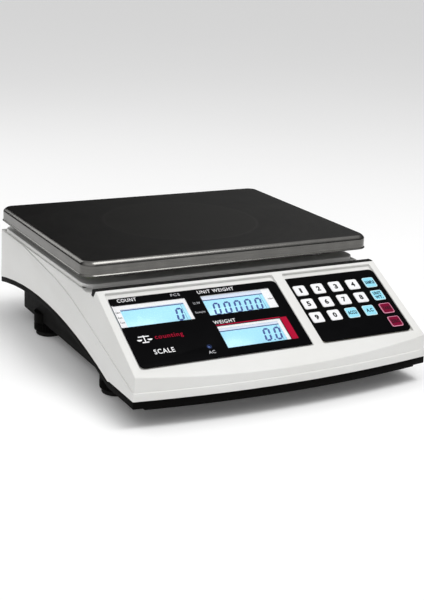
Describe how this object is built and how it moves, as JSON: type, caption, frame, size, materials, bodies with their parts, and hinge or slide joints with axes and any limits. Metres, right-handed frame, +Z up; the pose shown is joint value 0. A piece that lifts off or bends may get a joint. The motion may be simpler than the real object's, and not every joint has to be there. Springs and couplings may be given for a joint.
{
  "type": "counting scale",
  "caption": "Bench-top counting scale with a flat stainless pan over a load cell, a sloping console with LCD windows and keys, a rear power inlet and levelling feet.",
  "frame": {"origin": "on the surface the scale stands on, under the middle of its bounding box", "axes": "+X to the user's right, +Y from the console towards the rear, +Z up"},
  "size_m": [0.3046, 0.3622, 0.116],
  "materials": {
    "white_abs": "fine satin moulding, pale grey-white",
    "black_abs": "fine matte moulding",
    "overlay": "printed film, satin",
    "clear": "clear window",
    "lcd": "backlit pale cyan display",
    "board": "green solder mask",
    "circuit": "printed switch film",
    "key_white": "domed key, satin",
    "key_blue": "domed key, satin",
    "key_red": "domed key, satin",
    "stainless": "brushed stainless sheet",
    "aluminium": "milled or cast, satin",
    "steel": "zinc plated",
    "rubber": "matte",
    "battery_case": "sealed battery case",
    "core": "laminated steel core and winding",
    "led": "blue lens",
    "vial": "tinted vial"
  },
  "bodies": {
    "housing": {"top_cover": "white_abs", "base_tray": "black_abs", "mains_inlet": "black_abs", "power_switch_body": "black_abs", "display_overlay": "overlay", "keypad_overlay": "overlay", "count_window": "clear", "unit_weight_window": "clear", "weight_window": "clear", "count_lcd": "lcd", "unit_weight_lcd": "lcd", "weight_lcd": "lcd", "display_board": "board", "main_board": "board", "keypad_circuit": "circuit", "charge_led": "led", "load_cell": "aluminium", "load_cell_foot": "steel", "load_cell_foot_bolt_1": "steel", "load_cell_foot_bolt_2": "steel", "base_frame_plate": "steel", "battery_strap": "steel", "console_seal": "rubber", "battery": "battery_case", "transformer": "core", "bubble_level": "vial"},
    "load_frame": {"pan_spider": "aluminium", "load_cell_column": "aluminium", "load_cell_column_bolt_1": "steel", "load_cell_column_bolt_2": "steel", "pan_cushion_front_left": "rubber", "pan_cushion_front_right": "rubber", "pan_cushion_rear_left": "rubber", "pan_cushion_rear_right": "rubber"},
    "pan": {"pan": "stainless"},
    "power_rocker": {"power_rocker": "black_abs"},
    "key_1": {"key_1": "key_white"},
    "key_2": {"key_2": "key_white"},
    "key_3": {"key_3": "key_white"},
    "key_4": {"key_4": "key_white"},
    "key_sample": {"key_sample": "key_blue"},
    "key_5": {"key_5": "key_white"},
    "key_6": {"key_6": "key_white"},
    "key_7": {"key_7": "key_white"},
    "key_8": {"key_8": "key_white"},
    "key_unit_weight": {"key_unit_weight": "key_blue"},
    "key_9": {"key_9": "key_white"},
    "key_0": {"key_0": "key_white"},
    "key_add": {"key_add": "key_blue"},
    "key_clear_total": {"key_clear_total": "key_blue"},
    "key_tare": {"key_tare": "key_red"},
    "key_zero": {"key_zero": "key_red"},
    "foot_pad_front_left": {"foot_pad_front_left": "rubber"},
    "foot_wheel_front_left": {"foot_wheel_front_left": "black_abs"},
    "foot_pad_front_right": {"foot_pad_front_right": "rubber"},
    "foot_wheel_front_right": {"foot_wheel_front_right": "black_abs"},
    "foot_pad_rear_left": {"foot_pad_rear_left": "rubber"},
    "foot_wheel_rear_left": {"foot_wheel_rear_left": "black_abs"},
    "foot_pad_rear_right": {"foot_pad_rear_right": "rubber"},
    "foot_wheel_rear_right": {"foot_wheel_rear_right": "black_abs"}
  },
  "joints": [
    {"name": "load_frame_sink", "type": "slide", "parent": "housing", "child": "load_frame", "axis": [0, 0, 1], "range_m": [-0.0005, 0], "stiffness_N_per_m": 300000},
    {"name": "pan_lift_off", "type": "slide", "parent": "load_frame", "child": "pan", "axis": [0, 0, 1], "range_m": [0, 0.06]},
    {"name": "power_rocker_tilt", "type": "hinge", "parent": "housing", "child": "power_rocker", "pos_m": [0.048, 0.1764, 0.064], "axis": [1, 0, 0], "range_deg": [-20, 0]},
    {"name": "key_1_press", "type": "slide", "parent": "housing", "child": "key_1", "axis": [0, 0.4808, -0.8768], "range_m": [0, 0.0004], "stiffness_N_per_m": 5000},
    {"name": "key_2_press", "type": "slide", "parent": "housing", "child": "key_2", "axis": [0, 0.4808, -0.8768], "range_m": [0, 0.0004], "stiffness_N_per_m": 5000},
    {"name": "key_3_press", "type": "slide", "parent": "housing", "child": "key_3", "axis": [0, 0.4808, -0.8768], "range_m": [0, 0.0004], "stiffness_N_per_m": 5000},
    {"name": "key_4_press", "type": "slide", "parent": "housing", "child": "key_4", "axis": [0, 0.4808, -0.8768], "range_m": [0, 0.0004], "stiffness_N_per_m": 5000},
    {"name": "key_sample_press", "type": "slide", "parent": "housing", "child": "key_sample", "axis": [0, 0.4808, -0.8768], "range_m": [0, 0.0004], "stiffness_N_per_m": 5000},
    {"name": "key_5_press", "type": "slide", "parent": "housing", "child": "key_5", "axis": [0, 0.4808, -0.8768], "range_m": [0, 0.0004], "stiffness_N_per_m": 5000},
    {"name": "key_6_press", "type": "slide", "parent": "housing", "child": "key_6", "axis": [0, 0.4808, -0.8768], "range_m": [0, 0.0004], "stiffness_N_per_m": 5000},
    {"name": "key_7_press", "type": "slide", "parent": "housing", "child": "key_7", "axis": [0, 0.4808, -0.8768], "range_m": [0, 0.0004], "stiffness_N_per_m": 5000},
    {"name": "key_8_press", "type": "slide", "parent": "housing", "child": "key_8", "axis": [0, 0.4808, -0.8768], "range_m": [0, 0.0004], "stiffness_N_per_m": 5000},
    {"name": "key_unit_weight_press", "type": "slide", "parent": "housing", "child": "key_unit_weight", "axis": [0, 0.4808, -0.8768], "range_m": [0, 0.0004], "stiffness_N_per_m": 5000},
    {"name": "key_9_press", "type": "slide", "parent": "housing", "child": "key_9", "axis": [0, 0.4808, -0.8768], "range_m": [0, 0.0004], "stiffness_N_per_m": 5000},
    {"name": "key_0_press", "type": "slide", "parent": "housing", "child": "key_0", "axis": [0, 0.4808, -0.8768], "range_m": [0, 0.0004], "stiffness_N_per_m": 5000},
    {"name": "key_add_press", "type": "slide", "parent": "housing", "child": "key_add", "axis": [0, 0.4808, -0.8768], "range_m": [0, 0.0004], "stiffness_N_per_m": 5000},
    {"name": "key_clear_total_press", "type": "slide", "parent": "housing", "child": "key_clear_total", "axis": [0, 0.4808, -0.8768], "range_m": [0, 0.0004], "stiffness_N_per_m": 5000},
    {"name": "key_tare_press", "type": "slide", "parent": "housing", "child": "key_tare", "axis": [0, 0.4808, -0.8768], "range_m": [0, 0.0004], "stiffness_N_per_m": 5000},
    {"name": "key_zero_press", "type": "slide", "parent": "housing", "child": "key_zero", "axis": [0, 0.4808, -0.8768], "range_m": [0, 0.0004], "stiffness_N_per_m": 5000},
    {"name": "foot_front_left_extend", "type": "slide", "parent": "housing", "child": "foot_pad_front_left", "axis": [0, 0, -1], "range_m": [0, 0.005]},
    {"name": "foot_front_left_turn", "type": "hinge", "parent": "foot_pad_front_left", "child": "foot_wheel_front_left", "pos_m": [-0.128, -0.0851, 0.008], "axis": [0, 0, -1], "range_deg": [0, 1440.1]},
    {"name": "foot_front_right_extend", "type": "slide", "parent": "housing", "child": "foot_pad_front_right", "axis": [0, 0, -1], "range_m": [0, 0.005]},
    {"name": "foot_front_right_turn", "type": "hinge", "parent": "foot_pad_front_right", "child": "foot_wheel_front_right", "pos_m": [0.128, -0.0851, 0.008], "axis": [0, 0, -1], "range_deg": [0, 1440.1]},
    {"name": "foot_rear_left_extend", "type": "slide", "parent": "housing", "child": "foot_pad_rear_left", "axis": [0, 0, -1], "range_m": [0, 0.005]},
    {"name": "foot_rear_left_turn", "type": "hinge", "parent": "foot_pad_rear_left", "child": "foot_wheel_rear_left", "pos_m": [-0.128, 0.0859, 0.008], "axis": [0, 0, -1], "range_deg": [0, 1440.1]},
    {"name": "foot_rear_right_extend", "type": "slide", "parent": "housing", "child": "foot_pad_rear_right", "axis": [0, 0, -1], "range_m": [0, 0.005]},
    {"name": "foot_rear_right_turn", "type": "hinge", "parent": "foot_pad_rear_right", "child": "foot_wheel_rear_right", "pos_m": [0.128, 0.0859, 0.008], "axis": [0, 0, -1], "range_deg": [0, 1440.1]}
  ],
  "couplings": [
    {"joint": "foot_front_left_turn", "follows": "foot_front_left_extend", "rad_per_m": 5026.5},
    {"joint": "foot_front_right_turn", "follows": "foot_front_right_extend", "rad_per_m": 5026.5},
    {"joint": "foot_rear_left_turn", "follows": "foot_rear_left_extend", "rad_per_m": 5026.5},
    {"joint": "foot_rear_right_turn", "follows": "foot_rear_right_extend", "rad_per_m": 5026.5}
  ]
}
